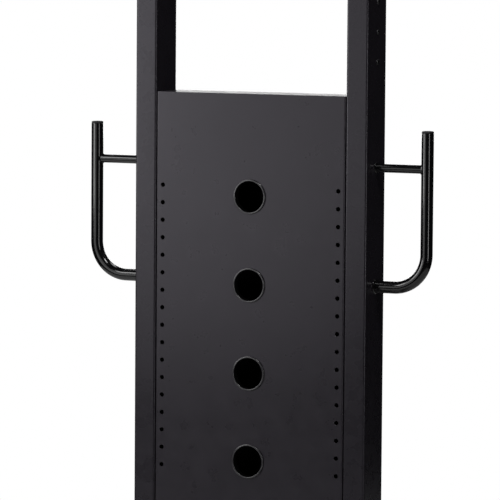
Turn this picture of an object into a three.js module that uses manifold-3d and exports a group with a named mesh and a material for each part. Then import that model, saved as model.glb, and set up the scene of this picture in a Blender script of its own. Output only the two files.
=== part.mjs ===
// Free-standing power tower: two rectangular uprights with a ported panel box between them, a J-shaped
// handle on each side, an H-shaped base on levelling feet and transport wheels, and a pull-up bar on top.
// Millimetres, +Z up. The front faces -Y, left is -X. The origin is on the floor, in the middle of the base.

import * as THREE from 'three';
import { mergeVertices } from 'three/addons/utils/BufferGeometryUtils.js';
import Module from 'manifold-3d';

const wasm = await Module();
wasm.setup();

// ---------------------------------------------------------------- driving dimensions

const GAP = 0.3;                 // between pieces that touch
const HOLE_PITCH = 38;           // small panel holes, the module of the whole tower
const HOLE_COUNT = 17;
const HOLE_RADIUS = 5;
const HOLE_COLUMN_X = 206;
const PORT_COUNT = 4;
const PORT_PITCH = 5 * HOLE_PITCH;

const UPRIGHT = { width: 50, depth: 100, corner: 5, wall: 3 };
const CLEAR_WIDTH = 444;         // between the uprights
const SEAM_HEIGHT = 1391;        // upright meets its extension
const UPRIGHT_TOP = 2080;

const BEAM = { width: 50, height: 75, corner: 5, wall: 3 };
const BEAM_BOTTOM = 28;
const BASE_LENGTH = 1100;
const BASE_WIDTH = 800;

const SHEET = 2;                 // panel sheet thickness
const PANEL = { gap: 1, recess: 1, bottom: 150, height: 1010, bend: 3, rearDepth: 15 };
const RIM = { outer: 37.5, inner: 33.3, sheetHole: 35, sleeve: 34.7, flange: 3, length: 14 };
const HOLE_STRIP = { width: 23, depth: 10 };

const HANDLE = { radius: 13, wall: 2, reach: 117, low: 755.5, top: 1085, bend: 72 };
const STAY = { radius: 9, height: 1008 };

const SPLICE = { screws: 3, pitch: 63.5, end: 32, length: 390, clearance: 0.5, corner: 3, wall: 2.7 };
const SCREW = { head: 5.5, headHeight: 3.3, bevel: 1.2, face: 3, shank: 3, hole: 3.3, length: 12 };
const SOCKET = { radius: 2, floor: 1.2 };

const SHOE = { length: 320, thickness: 8, gusset: 120, gussetFoot: 82, gussetTip: 16, gussetEdge: 10 };
const FOOT = {
  x: 360,
  pad: 25,
  padHeight: 9,
  shoulder: 4,
  hex: 8.5,
  hexHeight: 6,
  stem: 5,
  hole: 5.3,
  top: 62,
};
const WHEEL = { x: 300, radius: 37.5, width: 24, shoulder: 4, lift: 4, bore: 5.08, clearance: 3 };
const AXLE = { radius: 5, head: 8, headHeight: 6, nutHeight: 8 };
const BRACKET = { plate: 4, inner: 15, height: 44, nose: 14, axleHole: 5.3, cornerCut: 20 };

const BAR = {
  radius: 16,
  wall: 2.5,
  height: 2020,
  forward: 370,
  straight: 330,
  bend: 150,
  drop: 20,
  end: 125,
};
const TOP_BEAM_HEIGHT = 2000;
const ARM = {
  width: 40,
  height: 60,
  corner: 5,
  wall: 3,
  overhang: 30,
  flange: 6,
  flangeHeight: 110,
  barHole: 16.5,
};
const GRIP = { thickness: 3.5, length: 112, offset: 62 };
const CAP = { plate: 4, plug: 14, plugCorner: 1.5, clearance: 0.4 };
const DOME = { shoulder: 1, edge: 1.5, edgeHeight: 3, face: 5, height: 4 };

const OVERLAP = 1;               // how far solids that are joined go into each other
const DRILL = 20;                // a cutter that goes through one wall
const LONG_DRILL = 100;          // a cutter that goes through a whole tube
const CORNER_STEPS = 2;          // half the facets of a rounded corner
const TUBE_STEPS = 8;            // half the facets of a round tube
const FACETS = { hole: 8, hex: 6, screw: 10, foot: 16, wheel: 24, rim: 24, port: 32 };

// ---------------------------------------------------------------- worked out from them

const uprightX = CLEAR_WIDTH / 2 + UPRIGHT.width / 2;
const uprightOuterX = CLEAR_WIDTH / 2 + UPRIGHT.width;
const uprightFront = -UPRIGHT.depth / 2;
const beamTop = BEAM_BOTTOM + BEAM.height;
const beamMiddle = BEAM_BOTTOM + BEAM.height / 2;
const uprightBottom = beamTop + SHOE.thickness + 2 * GAP;
const panelHalf = CLEAR_WIDTH / 2 - PANEL.gap;
const panelFront = uprightFront + PANEL.recess;
const panelTop = PANEL.bottom + PANEL.height;
const panelMiddle = PANEL.bottom + PANEL.height / 2;
const frontBeamY = -BASE_LENGTH / 2 + BEAM.width / 2;
const wheelY = BASE_LENGTH / 2 - WHEEL.radius;
const wheelZ = WHEEL.radius + WHEEL.lift;
const bracketPlateY = wheelY - WHEEL.radius - WHEEL.clearance;
const rearBeamY = bracketPlateY - BRACKET.plate - GAP - BEAM.width / 2;
const SIDES = [['left', -1], ['right', 1]];

const MATERIALS = {
  frame: new THREE.MeshStandardMaterial({ color: 0x3b3a3d, roughness: 0.45, metalness: 0.1 }),
  panel: new THREE.MeshStandardMaterial({ color: 0x39383b, roughness: 0.5, metalness: 0.1 }),
  gloss: new THREE.MeshStandardMaterial({ color: 0x0b0b0c, roughness: 0.15, metalness: 0.0 }),
  rim: new THREE.MeshStandardMaterial({ color: 0x1c1c1e, roughness: 0.2, metalness: 0.6 }),
  plastic: new THREE.MeshStandardMaterial({ color: 0x121213, roughness: 0.6, metalness: 0.0 }),
  rubber: new THREE.MeshStandardMaterial({ color: 0x161616, roughness: 0.9, metalness: 0.0 }),
  zinc: new THREE.MeshStandardMaterial({ color: 0x8c8d90, roughness: 0.35, metalness: 1.0 }),
  darkSteel: new THREE.MeshStandardMaterial({ color: 0x202022, roughness: 0.4, metalness: 0.5 }),
};

// ---------------------------------------------------------------- shapes and solids

const tower = new THREE.Group();

function addPiece(name, geometry, material, position = [0, 0, 0], rotation = [0, 0, 0]) {
  const mesh = new THREE.Mesh(geometry, MATERIALS[material]);
  mesh.name = name;
  mesh.position.set(...position);
  mesh.rotation.set(...rotation);
  tower.add(mesh);
}

function toSolid(geometry) {
  const plain = geometry.clone();
  plain.deleteAttribute('normal');
  plain.deleteAttribute('uv');
  const merged = mergeVertices(plain, 1e-4);
  return new wasm.Manifold(new wasm.Mesh({
    numProp: 3,
    vertProperties: new Float32Array(merged.attributes.position.array),
    triVerts: new Uint32Array(merged.index.array),
  }));
}

function toGeometry(solid) {
  const mesh = solid.getMesh();
  const geometry = new THREE.BufferGeometry();
  geometry.setAttribute('position', new THREE.BufferAttribute(mesh.vertProperties, 3));
  geometry.setIndex(new THREE.BufferAttribute(mesh.triVerts, 1));
  return geometry;
}

function cut(geometry, cutters) {
  return toGeometry(cutters.reduce((solid, cutter) => solid.subtract(toSolid(cutter)), toSolid(geometry)));
}

function join(geometries) {
  return toGeometry(geometries.map(toSolid).reduce((whole, solid) => whole.add(solid)));
}

// A cylinder centred on a point, with its axis along x, y or z.
function rod(axis, radius, length, centre, sides) {
  const geometry = new THREE.CylinderGeometry(radius, radius, length, sides);
  if (axis === 'x') geometry.rotateZ(Math.PI / 2);
  if (axis === 'z') geometry.rotateX(Math.PI / 2);
  return geometry.translate(...centre);
}

function box(size, centre) {
  return new THREE.BoxGeometry(...size).translate(...centre);
}

function roundedRectangle(Outline, width, height, corner) {
  const x = width / 2 - corner;
  const y = height / 2 - corner;
  const outline = new Outline();
  outline.absarc(x, y, corner, 0, Math.PI / 2);
  outline.absarc(-x, y, corner, Math.PI / 2, Math.PI);
  outline.absarc(-x, -y, corner, Math.PI, 1.5 * Math.PI);
  outline.absarc(x, -y, corner, 1.5 * Math.PI, 2 * Math.PI);
  outline.closePath();
  return outline;
}

function extrusion(depth, curveSegments = CORNER_STEPS) {
  return { depth, curveSegments, bevelEnabled: false };
}

function plate(width, height, corner, thickness) {
  const shape = roundedRectangle(THREE.Shape, width, height, corner);
  return new THREE.ExtrudeGeometry(shape, extrusion(thickness));
}

// A rectangular tube from z = 0 to z = length, open at both ends.
function rectangularTube(width, height, corner, wall, length) {
  const shape = roundedRectangle(THREE.Shape, width, height, corner);
  shape.holes.push(roundedRectangle(THREE.Path, width - 2 * wall, height - 2 * wall, corner - wall + 0.5));
  return new THREE.ExtrudeGeometry(shape, extrusion(length));
}

// A plastic end cap for a rectangular tube: the plug goes down from z = 0 and the plate stands on it.
function tubeCap(width, height, corner, wall) {
  const inset = 2 * (wall + CAP.clearance);
  const plug = plate(width - inset, height - inset, CAP.plugCorner, CAP.plug + OVERLAP)
    .translate(0, 0, -CAP.plug);
  return join([plug, plate(width, height, corner, CAP.plate).translate(0, 0, GAP)]);
}

function ringProfile(outer, inner) {
  const shape = new THREE.Shape().absarc(0, 0, outer, 0, 2 * Math.PI);
  shape.holes.push(new THREE.Path().absarc(0, 0, inner, 0, 2 * Math.PI));
  return shape;
}

// A path in the XZ plane made of straight runs and arcs, known only at its stations, so that a straight run
// takes one step however long it is.
class StationPath extends THREE.Curve {
  constructor() {
    super();
    this.stations = [];
  }

  add(x, z, angle) {
    const tangent = new THREE.Vector3(Math.cos(angle), 0, Math.sin(angle));
    this.stations.push({ point: new THREE.Vector3(x, 0, z), tangent });
    return this;
  }

  arc(centreX, centreZ, radius, from, to, steps) {
    const turn = Math.sign(to - from) * Math.PI / 2;
    for (let step = 0; step <= steps; step += 1) {
      const angle = from + (to - from) * step / steps;
      this.add(centreX + radius * Math.cos(angle), centreZ + radius * Math.sin(angle), angle + turn);
    }
    return this;
  }

  station(t) {
    return this.stations[Math.round(t * (this.stations.length - 1))];
  }

  getPoint(t) {
    return this.station(t).point.clone();
  }

  getPointAt(t) {
    return this.getPoint(t);
  }

  getTangentAt(t) {
    return this.station(t).tangent.clone();
  }
}

function tubeAlong(path, radius, wall) {
  return new THREE.ExtrudeGeometry(ringProfile(radius, radius - wall), {
    steps: path.stations.length - 1,
    bevelEnabled: false,
    curveSegments: TUBE_STEPS,
    extrudePath: path,
  });
}

// A domed plug for a round tube, along +Z, with its shoulder at z = 0.
function roundPlug(radius, wall) {
  const stem = radius - wall - CAP.clearance;
  const profile = [
    [0, -CAP.plug],
    [stem, -CAP.plug],
    [stem, 0],
    [radius, 0],
    [radius, DOME.shoulder],
    [radius - DOME.edge, DOME.edgeHeight],
    [radius - DOME.face, DOME.height],
    [0, DOME.height],
  ];
  return lathe(profile, 2 * TUBE_STEPS).rotateX(Math.PI / 2);
}

function lathe(profile, segments) {
  return new THREE.LatheGeometry(profile.map(([r, y]) => new THREE.Vector2(r, y)), segments);
}

// A sheet folded into a channel: front wall on y = 0, sides turned back, bend outside radius PANEL.bend.
function foldedChannel(half, depth, height) {
  const outer = PANEL.bend;
  const inner = outer - SHEET;
  const bendX = half - outer;
  const shape = new THREE.Shape();
  shape.moveTo(-half, depth);
  shape.absarc(-bendX, outer, outer, Math.PI, 1.5 * Math.PI);
  shape.absarc(bendX, outer, outer, 1.5 * Math.PI, 2 * Math.PI);
  shape.lineTo(half, depth);
  shape.lineTo(half - SHEET, depth);
  shape.absarc(bendX, outer, inner, 2 * Math.PI, 1.5 * Math.PI, true);
  shape.absarc(-bendX, outer, inner, 1.5 * Math.PI, Math.PI, true);
  shape.lineTo(-half + SHEET, depth);
  shape.closePath();
  return new THREE.ExtrudeGeometry(shape, extrusion(height));
}

// ---------------------------------------------------------------- uprights and their splice

function holeHeights() {
  return Array.from({ length: HOLE_COUNT }, (_, i) => panelMiddle + (i - (HOLE_COUNT - 1) / 2) * HOLE_PITCH);
}

function portHeights() {
  return Array.from({ length: PORT_COUNT }, (_, i) => panelMiddle + ((PORT_COUNT - 1) / 2 - i) * PORT_PITCH);
}

function screwHeights() {
  return Array.from({ length: SPLICE.screws }, (_, i) => SEAM_HEIGHT - SPLICE.end - i * SPLICE.pitch);
}

function addUprights() {
  const { width, depth, corner, wall } = UPRIGHT;
  const sleeveSize = [width - 2 * (wall + SPLICE.clearance), depth - 2 * (wall + SPLICE.clearance)];
  const sleeveBottom = SEAM_HEIGHT - SPLICE.length / 2;
  const screwProfile = [
    [0, -SCREW.length],
    [SCREW.shank, -SCREW.length],
    [SCREW.shank, 0],
    [SCREW.head, 0],
    [SCREW.head - SCREW.bevel, SCREW.headHeight - SCREW.bevel],
    [SCREW.face, SCREW.headHeight],
    [SOCKET.radius, SCREW.headHeight],
    [SOCKET.radius, SOCKET.floor],
    [0, SOCKET.floor],
  ];
  for (const [side, sign] of SIDES) {
    const x = sign * uprightX;
    const wallHoles = (base) => screwHeights().map(
      (z) => rod('x', SCREW.hole, DRILL, [sign * width / 2, 0, z - base], FACETS.hole));
    const lower = rectangularTube(width, depth, corner, wall, SEAM_HEIGHT - uprightBottom);
    addPiece(`${side}_upright`, cut(lower, wallHoles(uprightBottom)), 'frame', [x, 0, uprightBottom]);
    const upper = rectangularTube(width, depth, corner, wall, UPRIGHT_TOP - SEAM_HEIGHT - GAP);
    addPiece(`${side}_upright_extension`, upper, 'frame', [x, 0, SEAM_HEIGHT + GAP]);
    const sleeve = rectangularTube(...sleeveSize, SPLICE.corner, SPLICE.wall, SPLICE.length);
    addPiece(`${side}_splice_sleeve`, cut(sleeve, wallHoles(sleeveBottom)), 'zinc', [x, 0, sleeveBottom]);
    screwHeights().forEach((z, i) => {
      const screw = lathe(screwProfile, FACETS.screw);
      const place = [sign * (uprightOuterX + GAP), 0, z];
      addPiece(`${side}_splice_screw_${i + 1}`, screw, 'darkSteel', place, [0, 0, -sign * Math.PI / 2]);
    });
    addPiece(`${side}_upright_cap`, tubeCap(width, depth, corner, wall), 'plastic', [x, 0, UPRIGHT_TOP]);
  }
}

// ---------------------------------------------------------------- panel box

function addPanel() {
  const depth = UPRIGHT.depth - 2 * PANEL.recess;
  const insideHalf = panelHalf - SHEET - GAP;
  const portHoles = portHeights().map(
    (z) => rod('y', RIM.sheetHole, DRILL, [0, 0, z - PANEL.bottom], FACETS.port));
  const smallHoles = SIDES.flatMap(([, sign]) => holeHeights().map(
    (z) => rod('y', HOLE_RADIUS, DRILL, [sign * HOLE_COLUMN_X, 0, z - PANEL.bottom], FACETS.hole)));
  const front = cut(foldedChannel(panelHalf, depth, PANEL.height), [...portHoles, ...smallHoles]);
  addPiece('front_panel', front, 'panel', [0, panelFront, PANEL.bottom]);

  const rearHeight = PANEL.height - 2 * (SHEET + GAP);
  const rear = foldedChannel(insideHalf, PANEL.rearDepth, rearHeight);
  const rearY = panelFront + depth;
  addPiece('rear_panel', rear, 'panel', [0, rearY, PANEL.bottom + SHEET + GAP], [0, 0, Math.PI]);

  const lidDepth = depth - SHEET - 2 * GAP;
  const lidY = panelFront + SHEET + GAP + lidDepth / 2;
  const lid = plate(2 * insideHalf, lidDepth, 1, SHEET);
  addPiece('panel_lid', lid, 'panel', [0, lidY, panelTop - SHEET]);
  addPiece('panel_floor', lid, 'panel', [0, lidY, PANEL.bottom]);

  addHoleStrips();
  const rimProfile = [
    [RIM.inner, RIM.length],
    [RIM.inner, -RIM.flange],
    [RIM.outer - 1, -RIM.flange],
    [RIM.outer, 1 - RIM.flange],
    [RIM.outer, 0],
    [RIM.sleeve, 0],
    [RIM.sleeve, RIM.length],
    [RIM.inner, RIM.length],
  ];
  portHeights().forEach((z, i) => {
    addPiece(`port_rim_${i + 1}`, lathe(rimProfile, FACETS.rim), 'rim', [0, panelFront - GAP, z]);
  });
}

// Bars behind the columns of small holes, drilled with them, that give a peg enough thickness to sit in.
function addHoleStrips() {
  const { width, depth } = HOLE_STRIP;
  const stripY = panelFront + SHEET + GAP + depth / 2;
  for (const [side, sign] of SIDES) {
    const holes = holeHeights().map(
      (z) => rod('y', HOLE_RADIUS, DRILL, [0, 0, z - panelMiddle], FACETS.hole));
    const strip = cut(box([width, depth, HOLE_COUNT * HOLE_PITCH], [0, 0, 0]), holes);
    addPiece(`${side}_hole_strip`, strip, 'darkSteel', [sign * HOLE_COLUMN_X, stripY, panelMiddle]);
  }
}

// ---------------------------------------------------------------- side handles

function addHandles() {
  const tubeX = uprightOuterX + HANDLE.reach;
  for (const [side, sign] of SIDES) {
    const start = sign > 0 ? 0 : Math.PI;
    const bendAngles = sign > 0 ? [-Math.PI / 2, 0] : [1.5 * Math.PI, Math.PI];
    const path = new StationPath()
      .add(sign * (uprightOuterX + GAP), HANDLE.low, start)
      .arc(sign * (tubeX - HANDLE.bend), HANDLE.low + HANDLE.bend, HANDLE.bend, ...bendAngles, 6)
      .add(sign * tubeX, HANDLE.top, Math.PI / 2);
    addPiece(`${side}_handle_tube`, tubeAlong(path, HANDLE.radius, HANDLE.wall), 'gloss');
    const capPlace = [sign * tubeX, 0, HANDLE.top + GAP];
    addPiece(`${side}_handle_cap`, roundPlug(HANDLE.radius, HANDLE.wall), 'plastic', capPlace);
    const stayLength = HANDLE.reach - GAP;
    const stay = rod('x', STAY.radius, stayLength, [sign * (stayLength / 2), 0, 0], FACETS.foot);
    const cope = rod('z', HANDLE.radius + GAP, LONG_DRILL, [sign * stayLength, 0, 0], FACETS.rim);
    const stayPlace = [sign * (uprightOuterX + GAP), 0, STAY.height];
    addPiece(`${side}_handle_stay`, cut(stay, [cope]), 'gloss', stayPlace);
  }
}

// ---------------------------------------------------------------- base

// A beam standing on z = 0 with its height along X, ready to be laid down. Its holes are given in that frame.
function beam(length, cutters = []) {
  const tube = rectangularTube(BEAM.height, BEAM.width, BEAM.corner, BEAM.wall, length);
  return cutters.length ? cut(tube, cutters) : tube;
}

function addBase() {
  const alongX = [0, Math.PI / 2, 0];
  const crossLength = BASE_WIDTH - 2 * (CAP.plate + GAP);
  for (const [end, y] of [['front', frontBeamY], ['rear', rearBeamY]]) {
    const footHoles = [-FOOT.x, FOOT.x].map(
      (x) => rod('x', FOOT.hole, DRILL, [BEAM.height / 2, 0, x + crossLength / 2], FACETS.foot));
    const beamStart = [-crossLength / 2, y, beamMiddle];
    addPiece(`${end}_base_beam`, beam(crossLength, footHoles), 'frame', beamStart, alongX);
    for (const [side, sign] of SIDES) {
      const cap = tubeCap(BEAM.height, BEAM.width, BEAM.corner, BEAM.wall);
      const place = [sign * crossLength / 2, y, beamMiddle];
      addPiece(`${end}_${side}_beam_cap`, cap, 'plastic', place, [0, sign * Math.PI / 2, 0]);
      addPiece(`${end}_${side}_levelling_foot`, levellingFoot(), 'rubber', [sign * FOOT.x, y, 0]);
    }
  }
  const centreLength = CLEAR_WIDTH - 2 * GAP;
  addPiece('centre_base_beam', beam(centreLength), 'frame', [-centreLength / 2, 0, beamMiddle], alongX);

  const railStart = frontBeamY + BEAM.width / 2 + GAP;
  const railLength = rearBeamY - BEAM.width / 2 - GAP - railStart;
  for (const [side, sign] of SIDES) {
    const rail = rectangularTube(BEAM.width, BEAM.height, BEAM.corner, BEAM.wall, railLength);
    const place = [sign * uprightX, railStart, beamMiddle];
    addPiece(`${side}_base_rail`, rail, 'frame', place, [-Math.PI / 2, 0, 0]);
    addPiece(`${side}_upright_shoe`, uprightShoe(), 'frame', [sign * uprightX, 0, beamTop + GAP]);
  }
}

// Pad, hexagon for the spanner and threaded stem in one piece.
function levellingFoot() {
  const { pad, padHeight, shoulder, hex, hexHeight, stem, top } = FOOT;
  const padProfile = [
    [0, 0],
    [pad - 1.5, 0],
    [pad, 1.5],
    [pad, padHeight - shoulder],
    [pad - 1.5 * shoulder, padHeight],
    [0, padHeight],
  ];
  return join([
    lathe(padProfile, FACETS.foot).rotateX(Math.PI / 2),
    rod('z', hex, hexHeight + OVERLAP, [0, 0, padHeight + (hexHeight - OVERLAP) / 2], FACETS.hex),
    rod('z', stem, top - padHeight, [0, 0, (top + padHeight) / 2], FACETS.screw),
  ]);
}

function uprightShoe() {
  const { length, thickness, gusset, gussetFoot, gussetTip, gussetEdge } = SHOE;
  const triangle = new THREE.Shape();
  triangle.moveTo(0, 0);
  triangle.lineTo(gussetFoot, 0);
  triangle.lineTo(gussetFoot, gussetEdge);
  triangle.lineTo(gussetTip, gusset);
  triangle.lineTo(0, gusset);
  triangle.closePath();
  const gussetPlate = (turn) => new THREE.ExtrudeGeometry(triangle, extrusion(thickness))
    .rotateX(Math.PI / 2)
    .translate(UPRIGHT.depth / 2 + GAP, thickness / 2, thickness - OVERLAP)
    .rotateZ(turn);
  return join([
    plate(UPRIGHT.width, length, UPRIGHT.corner, thickness),
    gussetPlate(Math.PI / 2),
    gussetPlate(-Math.PI / 2),
  ]);
}

function addTransportWheels() {
  const { radius, width, shoulder, bore } = WHEEL;
  const ear = BRACKET.inner + BRACKET.plate;
  const wheelProfile = [
    [bore, -width / 2],
    [radius - shoulder, -width / 2],
    [radius, shoulder - width / 2],
    [radius, width / 2 - shoulder],
    [radius - shoulder, width / 2],
    [bore, width / 2],
    [bore, -width / 2],
  ];
  const axleProfile = [
    [0, -ear - AXLE.headHeight],
    [AXLE.head, -ear - AXLE.headHeight],
    [AXLE.head, -ear - GAP],
    [AXLE.radius, -ear - GAP],
    [AXLE.radius, ear + GAP],
    [AXLE.head, ear + GAP],
    [AXLE.head, ear + AXLE.nutHeight],
    [0, ear + AXLE.nutHeight],
  ];
  for (const [side, sign] of SIDES) {
    const place = [sign * WHEEL.x, wheelY, wheelZ];
    const alongX = [0, 0, -Math.PI / 2];
    addPiece(`${side}_wheel`, lathe(wheelProfile, FACETS.wheel), 'rubber', place, alongX);
    addPiece(`${side}_wheel_axle`, lathe(axleProfile, FACETS.foot), 'zinc', place, alongX);
    const bracketPlace = [sign * WHEEL.x, bracketPlateY, wheelZ];
    addPiece(`${side}_wheel_bracket`, wheelBracket(ear), 'darkSteel', bracketPlace);
  }
}

// A channel with its back on the beam and its two ears around the wheel.
function wheelBracket(ear) {
  const { plate: thickness, height, nose, axleHole, cornerCut } = BRACKET;
  const axleY = WHEEL.radius + WHEEL.clearance;
  const earEnd = axleY + nose;
  const back = box([2 * ear, thickness, height], [0, -thickness / 2, 0]);
  const ears = [-1, 1].map((sign) => box(
    [thickness, earEnd + OVERLAP, height],
    [sign * (ear - thickness / 2), (earEnd - OVERLAP) / 2, 0]));
  const hole = rod('x', axleHole, LONG_DRILL, [0, axleY, 0], FACETS.foot);
  const corners = [-1, 1].map((sign) => box([LONG_DRILL, cornerCut, cornerCut], [0, 0, 0])
    .rotateX(Math.PI / 4)
    .translate(0, earEnd, sign * height / 2));
  return cut(join([back, ...ears]), [hole, ...corners]);
}

// ---------------------------------------------------------------- top

function addTop() {
  const length = CLEAR_WIDTH - 2 * GAP;
  addPiece('top_cross_beam', beam(length), 'frame', [-length / 2, 0, TOP_BEAM_HEIGHT], [0, Math.PI / 2, 0]);

  const drop = BAR.drop * Math.PI / 180;
  const arcEnd = [BAR.straight + BAR.bend * Math.sin(drop), -BAR.bend * (1 - Math.cos(drop))];
  const along = (distance) => [arcEnd[0] + distance * Math.cos(drop), arcEnd[1] - distance * Math.sin(drop)];
  const [endX, endZ] = along(BAR.end);
  const path = new StationPath()
    .add(-endX, endZ, drop)
    .arc(-BAR.straight, -BAR.bend, BAR.bend, Math.PI / 2 + drop, Math.PI / 2, 4)
    .arc(BAR.straight, -BAR.bend, BAR.bend, Math.PI / 2, Math.PI / 2 - drop, 4)
    .add(endX, endZ, -drop);
  const centre = [0, -BAR.forward, BAR.height];
  addPiece('pull_up_bar', tubeAlong(path, BAR.radius, BAR.wall), 'gloss', centre);

  const gripRing = ringProfile(BAR.radius + GRIP.thickness, BAR.radius + GAP);
  const grip = new THREE.ExtrudeGeometry(gripRing, extrusion(GRIP.length, TUBE_STEPS))
    .translate(0, 0, -GRIP.length / 2);
  for (const [side, sign] of SIDES) {
    const outward = [0, sign * (Math.PI / 2 + drop), 0];
    const at = (distance) => {
      const [x, z] = along(distance);
      return [sign * x, centre[1], centre[2] + z];
    };
    addPiece(`${side}_bar_grip`, grip, 'rubber', at(GRIP.offset), outward);
    addPiece(`${side}_bar_cap`, roundPlug(BAR.radius, BAR.wall), 'plastic', at(BAR.end + GAP), outward);
    addPiece(`${side}_bar_arm`, barArm(), 'frame', [sign * uprightX, uprightFront - GAP, BAR.height]);
  }
}

// A rectangular arm forward from the upright: a flange at its root, a closed nose and a hole for the bar.
function barArm() {
  const { width, height, corner, wall, overhang, flange: flangeThickness, flangeHeight, barHole } = ARM;
  const barY = GAP - BAR.forward + UPRIGHT.depth / 2;
  const reach = overhang - barY;
  const tube = rectangularTube(width, height, corner, wall, reach).rotateX(Math.PI / 2);
  const nose = plate(width, height, corner, wall).rotateX(Math.PI / 2).translate(0, wall - reach, 0);
  const flange = plate(UPRIGHT.width, flangeHeight, corner, flangeThickness).rotateX(Math.PI / 2);
  const hole = rod('x', barHole, LONG_DRILL, [0, barY, 0], 2 * TUBE_STEPS);
  return cut(join([tube, nose, flange]), [hole]);
}

addUprights();
addPanel();
addHandles();
addBase();
addTransportWheels();
addTop();

export default tower;
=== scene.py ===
"""Looks of a free-standing power tower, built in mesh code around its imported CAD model.

Metres, +Z up. The front faces -Y, left is -X. Sizes of tubes and plates come from the boxes of the CAD
nodes; what a box doesn't say, such as a bend or a wall, is in the constants below.
"""

import math

import bmesh
import bpy
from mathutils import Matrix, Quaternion, Vector
from mathutils.geometry import delaunay_2d_cdt


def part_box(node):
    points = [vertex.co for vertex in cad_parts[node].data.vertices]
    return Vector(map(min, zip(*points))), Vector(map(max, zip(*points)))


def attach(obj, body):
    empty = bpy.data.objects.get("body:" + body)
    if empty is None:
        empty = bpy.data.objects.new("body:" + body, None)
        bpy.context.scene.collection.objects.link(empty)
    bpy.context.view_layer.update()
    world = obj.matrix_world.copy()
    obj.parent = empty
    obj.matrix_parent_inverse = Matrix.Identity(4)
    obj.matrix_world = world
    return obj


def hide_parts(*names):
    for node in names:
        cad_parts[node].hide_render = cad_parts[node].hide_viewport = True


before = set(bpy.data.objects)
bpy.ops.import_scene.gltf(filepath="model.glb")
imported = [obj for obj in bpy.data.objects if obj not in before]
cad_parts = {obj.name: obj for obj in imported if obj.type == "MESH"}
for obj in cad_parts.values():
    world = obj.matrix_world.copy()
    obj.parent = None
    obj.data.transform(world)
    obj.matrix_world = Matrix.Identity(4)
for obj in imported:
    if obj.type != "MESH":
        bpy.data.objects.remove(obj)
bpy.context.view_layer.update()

MM = 0.001
SIDES = (("left", -1), ("right", 1))
ENDS = ("front", "rear")
X_AXIS = Vector((1, 0, 0))
Y_AXIS = Vector((0, 1, 0))
Z_AXIS = Vector((0, 0, 1))
AXES = (X_AXIS, Y_AXIS, Z_AXIS)

# -------- how finely shapes are made

ROUND_SIDES = 48
FINE_SIDES = 64
PORT_SIDES = 96
TYRE_SIDES = 80
SMALL_SIDES = 32
FLOOR_SIDES = 128
BEAD_SIDES = 10
CORNER_STEPS = 8
FOLD_STEPS = 10
HANDLE_BEND_STEPS = 32
BAR_BEND_STEPS = 14
MERGE_DISTANCE = 1e-7
SHARP = 32  # degrees above which an edge is shaded sharp
MOULDED_SHARP = 50  # the same for moulded parts

# -------- sizes the boxes don't give

EDGE = 0.6 * MM  # chamfer on cut edges
TUBE_CORNER = 5 * MM
LEAST_CORNER = 1.2 * MM
TUBE_WALL = 3 * MM

# Sections of moulded parts, as pairs in millimetres: how far in from the part's edge, and how far along
# from the tube's end, the floor, the front, the side or the groove's middle.
TUBE_CAP = ((3.6, -13), (3.6, 0), (0.2, 0), (0, 0.3), (0, 2.2), (0.4, 3.2), (1.3, 3.9), (2.4, 4),
            (5.5, 4), (6.3, 3.5), (8, 3.4))
ROUND_CAP = ((3, -13), (3, 0.3), (0.2, 0.3), (0, 0.6), (0, 1.8), (0.5, 3), (1.6, 3.9), (3, 4.3),
             (5, 4.3), (5.4, 3.9), (6.5, 3.9))
FOOT_PAD = ((4.5, 0.7), (3.5, 0), (1.2, 0), (0.3, 0.5), (0, 1.5), (0, 4.4), (0.5, 5.2), (2.2, 6),
            (6, 8.2), (8, 9))
RIM_LIP = ((0, 1.5), (-0.2, 0.75), (-0.75, 0.2), (-1.3, 0))
RIM_ROLL = ((2, 0), (1.35, 0.12), (0.75, 0.45), (0.3, 0.95), (0.08, 1.45), (0, 2))
TYRE_SHOULDER = ((9, 0), (3.4, 0), (1.2, 1.2), (0.2, 3.4))
TYRE_GROOVE = ((0, -1.3), (1.2, -0.8), (1.2, 0.8), (0, 1.3))
CAP_PLATE = 4 * MM

WELD = 1.8 * MM  # radius of a bead
THIN_WELD = 1.5 * MM
THICK_WELD = 2 * MM
WELD_STEP = 1.5 * MM
ROUND_WELD_STEP = 1.4 * MM

SPLICE_SCREWS = 3
SPLICE_HEAD = (5.5 * MM, 3.6 * MM)  # radius and height
PANEL_HEAD = (4 * MM, 2.2 * MM)
SCREW_SHANK = 6 * MM
BOLT = (13 * MM, 5.3 * MM)  # across flats, and height of the head
WASHER = 1.6 * MM

HOLE_PITCH = 38 * MM
HOLE_COUNT = 17
HOLE_RADIUS = 5 * MM
HOLE_COLUMN_X = 206 * MM
HOLE_EDGE = 0.15 * MM
SHEET = 2 * MM
SHEET_BEND = 3 * MM
SHEET_STRIP = 2 * MM  # flat metal between the perforated part and the bend
SHEET_CORNER = 1 * MM
PANEL_SCREW_ROWS = 6
PANEL_SCREW_MARGIN = 40 * MM
PANEL_SCREW_INSET = 14 * MM
PORT_COUNT = 4
PORT_RADIUS = 35 * MM

RIM_OUTER = 37.5 * MM
RIM_INNER = 33.3 * MM
RIM_SLEEVE = 34.7 * MM
RIM_FLANGE = 3 * MM

HANDLE_RADIUS = 13 * MM
HANDLE_WALL = 2 * MM
HANDLE_BEND = 72 * MM
STAY_RADIUS = 9 * MM
HANDLE_WELD_LIFT = 0.6 * MM

FOOT_NUT = 8.5 * MM  # radius to the corners
FOOT_NUT_TOP = 15 * MM
THREAD_PITCH = 1.5 * MM
THREAD_ROOT = 4.25 * MM
THREAD_CREST = 5 * MM
THREAD_END = 3.6 * MM

SHOE_PLATE = 8 * MM
GUSSET_LENGTH = 82 * MM
GUSSET_TOE = 10 * MM  # height of its far end
GUSSET_CREST = 16 * MM  # width of its upper end
GUSSET_GAP = 0.3 * MM
GUSSET_SINK = 0.2 * MM
GUSSET_WELD_GAP = 1 * MM
SHOE_BOLT_OFFSET = 97 * MM

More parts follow.
